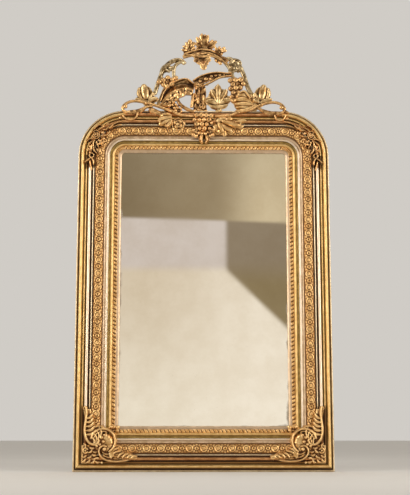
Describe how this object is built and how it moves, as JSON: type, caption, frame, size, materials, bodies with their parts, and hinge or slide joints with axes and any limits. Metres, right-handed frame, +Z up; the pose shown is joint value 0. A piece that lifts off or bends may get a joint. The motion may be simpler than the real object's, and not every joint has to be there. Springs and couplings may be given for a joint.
{
  "type": "overmantel mirror",
  "caption": "Tall wall mirror in a gilded moulded frame with rounded shoulders, carved corner ornaments and a pierced crest of leaves and grapes; hinged rings on its back hang it.",
  "frame": {"origin": "on the flat back, at the centre of the bottom rail, 60 mm above the frame's lower edge", "axes": "+Z up, +Y into the wall, so the mirror faces -Y; +X to the right as seen from the front"},
  "size_m": [0.92, 0.0634, 1.6101],
  "materials": {
    "moulding_gold": "gilded gesso on pine, burnished on the bead, worn to the clay on high edges",
    "frieze_gold": "matte gilding over low relief",
    "slip_gold": "gilded gesso, satin",
    "carving_gold": "gilded carving, satin, darkened in its hollows",
    "pine": "old bare pine",
    "board": "old bare pine boards",
    "wedge": "bare pine",
    "plate": "silvered plate glass",
    "brass": "aged brass",
    "iron": "darkened iron"
  },
  "bodies": {
    "frame": {"outer_moulding_left": "moulding_gold", "outer_moulding_right": "moulding_gold", "outer_moulding_bottom": "moulding_gold", "outer_moulding_top": "moulding_gold", "outer_shoulder_left": "moulding_gold", "outer_shoulder_right": "moulding_gold", "frieze_left": "frieze_gold", "frieze_right": "frieze_gold", "frieze_bottom": "frieze_gold", "frieze_top": "frieze_gold", "slip_left": "slip_gold", "slip_right": "slip_gold", "slip_bottom": "slip_gold", "slip_top": "slip_gold", "foot_cartouche_left": "carving_gold", "foot_cartouche_right": "carving_gold", "shoulder_spray_left": "carving_gold", "shoulder_spray_right": "carving_gold", "crest_trunk": "carving_gold", "crest_arch_left": "carving_gold", "crest_arch_right": "carving_gold", "crest_horn": "carving_gold", "crest_shell": "carving_gold", "crest_grapes_left": "carving_gold", "crest_grapes_right": "carving_gold", "crest_vine_leaf": "carving_gold", "crest_leaf_right": "carving_gold", "crest_top_leaf": "carving_gold", "crest_side_leaf_left": "carving_gold", "crest_side_leaf_right": "carving_gold", "crest_twig_left": "carving_gold", "crest_twig_right": "carving_gold", "crest_rose": "carving_gold", "crest_low_leaf_left": "carving_gold", "crest_low_leaf_right": "carving_gold", "crest_drop": "carving_gold", "stile_left": "pine", "stile_right": "pine", "bottom_rail": "pine", "top_rail": "pine", "crest_batten": "pine", "backboard_left": "board", "backboard_centre": "board", "backboard_right": "board", "plate_wedge_left": "wedge", "plate_wedge_right": "wedge", "plate_wedge_bottom": "wedge", "plate_wedge_top": "wedge", "hanger_strap_left": "brass", "hanger_strap_right": "brass", "strap_screw_left_upper": "iron", "strap_screw_left_lower": "iron", "strap_screw_right_upper": "iron", "strap_screw_right_lower": "iron", "batten_screw_lower": "iron", "batten_screw_middle": "iron", "batten_screw_upper": "iron", "mirror_plate": "plate"},
    "left_ring": {"hanging_ring_left": "brass"},
    "right_ring": {"hanging_ring_right": "brass"}
  },
  "joints": [
    {"name": "left_ring_hinge", "type": "hinge", "parent": "frame", "child": "left_ring", "pos_m": [-0.401, -0.0052, 0.98], "axis": [1, 0, 0], "range_deg": [0, 175]},
    {"name": "right_ring_hinge", "type": "hinge", "parent": "frame", "child": "right_ring", "pos_m": [0.401, -0.0052, 0.98], "axis": [1, 0, 0], "range_deg": [0, 175]}
  ]
}
